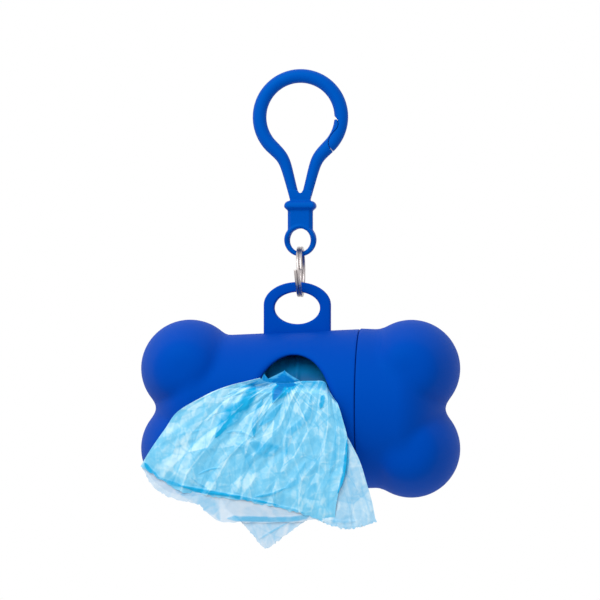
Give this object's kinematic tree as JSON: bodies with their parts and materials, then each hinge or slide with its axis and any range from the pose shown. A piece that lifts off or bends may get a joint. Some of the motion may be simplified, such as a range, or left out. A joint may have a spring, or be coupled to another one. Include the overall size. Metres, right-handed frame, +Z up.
{
  "type": "waste bag dispenser",
  "caption": "Blue bone-shaped case that holds a roll of waste bags, with a bag coming out of its oval opening, hung by a split ring from a plastic snap clip.",
  "frame": {"origin": "Centre of the round bow of the clip, where a leash or strap holds it.", "axes": "+Z up, with the case hanging below; +X along the barrel towards its cap; -Y the side that the bags come out of. Metres."},
  "size_m": [0.0848, 0.0456, 0.1257],
  "materials": {
    "case_blue": "satin",
    "clip_blue": "satin",
    "ring_steel": "satin",
    "core_board": "matte",
    "rolled_film": "satin",
    "loose_film": "satin"
  },
  "bodies": {
    "clip": {"clip_hook": "clip_blue"},
    "gate": {"clip_gate": "clip_blue"},
    "ring": {"split_ring": "ring_steel"},
    "case": {"case_body": "case_blue", "film_web": "loose_film"},
    "cap": {"case_cap": "case_blue"},
    "roll": {"roll_core": "core_board", "bag_roll": "rolled_film"},
    "bag": {"loose_bag": "loose_film"}
  },
  "joints": [
    {"name": "gate_flex", "type": "hinge", "parent": "clip", "child": "gate", "pos_m": [0.0021, 0, -0.0194], "axis": [0, 1, 0], "range_deg": [-14, 0], "stiffness_Nm_per_rad": 0.02},
    {"name": "ring_swing", "type": "hinge", "parent": "clip", "child": "ring", "pos_m": [0, 0, -0.0364], "axis": [1, 0, 0], "range_deg": [-75, 75]},
    {"name": "case_tilt", "type": "hinge", "parent": "ring", "child": "case", "pos_m": [0, 0, -0.04735], "axis": [0, 1, 0], "range_deg": [-60, 60]},
    {"name": "cap_pull", "type": "slide", "parent": "case", "child": "cap", "axis": [1, 0, 0], "range_m": [0, 0.045]},
    {"name": "bag_draw", "type": "slide", "parent": "case", "child": "bag", "axis": [0, -1, 0], "range_m": [0, 0.06]},
    {"name": "roll_spin", "type": "hinge", "parent": "case", "child": "roll", "pos_m": [0, 0, -0.07823], "axis": [1, 0, 0], "continuous": true}
  ],
  "couplings": [
    {"joint": "roll_spin", "follows": "bag_draw", "rad_per_m": 66.7}
  ]
}
